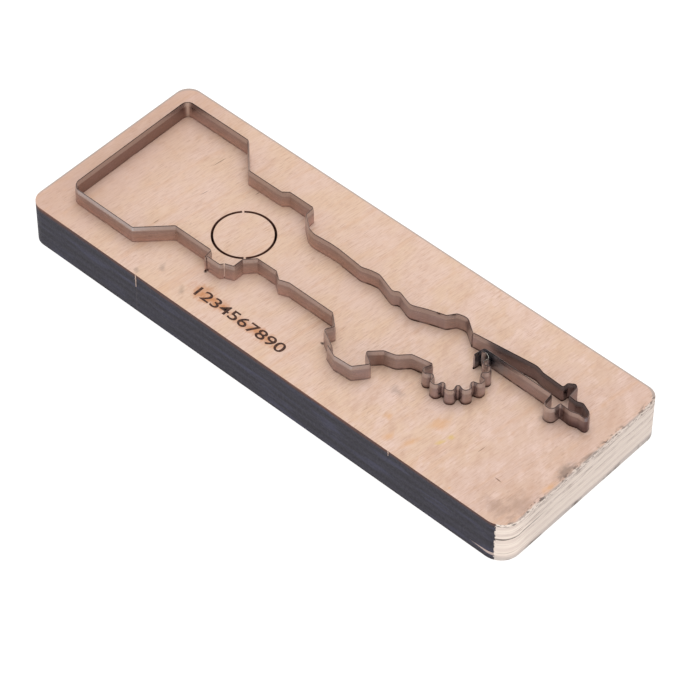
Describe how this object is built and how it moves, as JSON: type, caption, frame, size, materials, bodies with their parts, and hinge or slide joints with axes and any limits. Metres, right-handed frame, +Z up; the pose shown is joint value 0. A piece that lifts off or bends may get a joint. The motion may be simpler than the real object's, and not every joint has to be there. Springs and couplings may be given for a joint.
{
  "type": "steel rule die",
  "caption": "Plywood die board with bent cutting rule standing in its kerf in the outline of a long handled tool.",
  "frame": {"origin": "middle of the board's underside", "axes": "+X along the board towards its sanded end, +Y to the back long side, +Z up to the cutting edge"},
  "size_m": [0.198, 0.072, 0.0229],
  "materials": {
    "plywood": "bare sanded plywood with charred laser cut sides",
    "rule_steel": "satin rule steel with a ground edge"
  },
  "bodies": {
    "root": {"die_board": "plywood", "head_rule": "rule_steel", "barrel_rule": "rule_steel", "scallop_rule": "rule_steel", "handle_rule": "rule_steel", "neck_rule": "rule_steel"}
  },
  "joints": []
}
